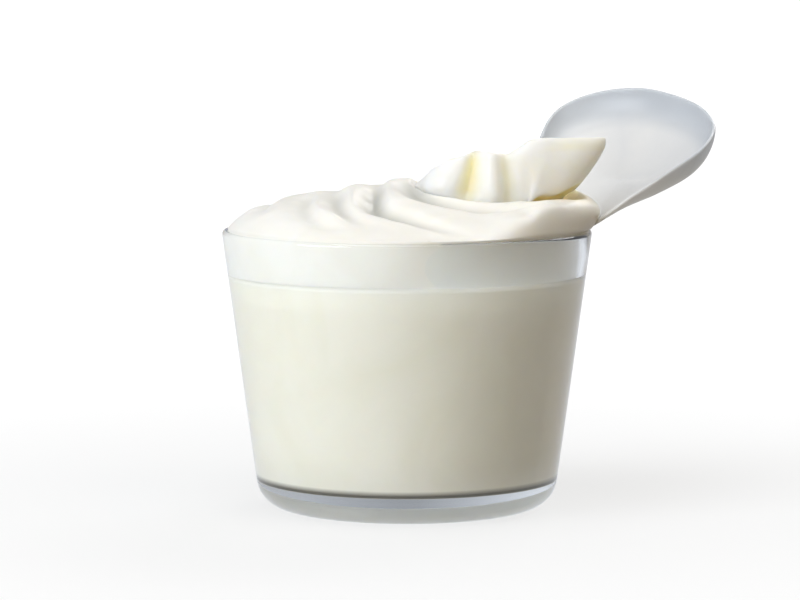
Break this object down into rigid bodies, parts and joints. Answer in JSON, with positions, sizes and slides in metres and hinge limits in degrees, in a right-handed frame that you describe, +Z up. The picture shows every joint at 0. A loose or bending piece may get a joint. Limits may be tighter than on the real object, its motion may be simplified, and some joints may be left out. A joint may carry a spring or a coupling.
{
  "type": "yogurt pot",
  "caption": "Tapered clear glass pot of yogurt with stirred yogurt and a fold of thick cream heaped above the rim, and a milky lid peeled back over one side.",
  "frame": {"origin": "centre of the pot's flat underside", "axes": "+Z up, the side shown in the picture faces -Y, and the lid leans out to +X"},
  "size_m": [0.1079, 0.0917, 0.0888],
  "materials": {
    "clear_glass": "clear, polished, faint blue-grey in the thick base",
    "set_yogurt": null,
    "stirred_yogurt": null,
    "thick_cream": null,
    "milky_plastic": "translucent grey-white, satin"
  },
  "bodies": {
    "root": {"glass_pot": "clear_glass", "yogurt_fill": "set_yogurt", "yogurt_swirl": "stirred_yogurt", "cream_fold": "thick_cream", "lid": "milky_plastic"}
  },
  "joints": []
}
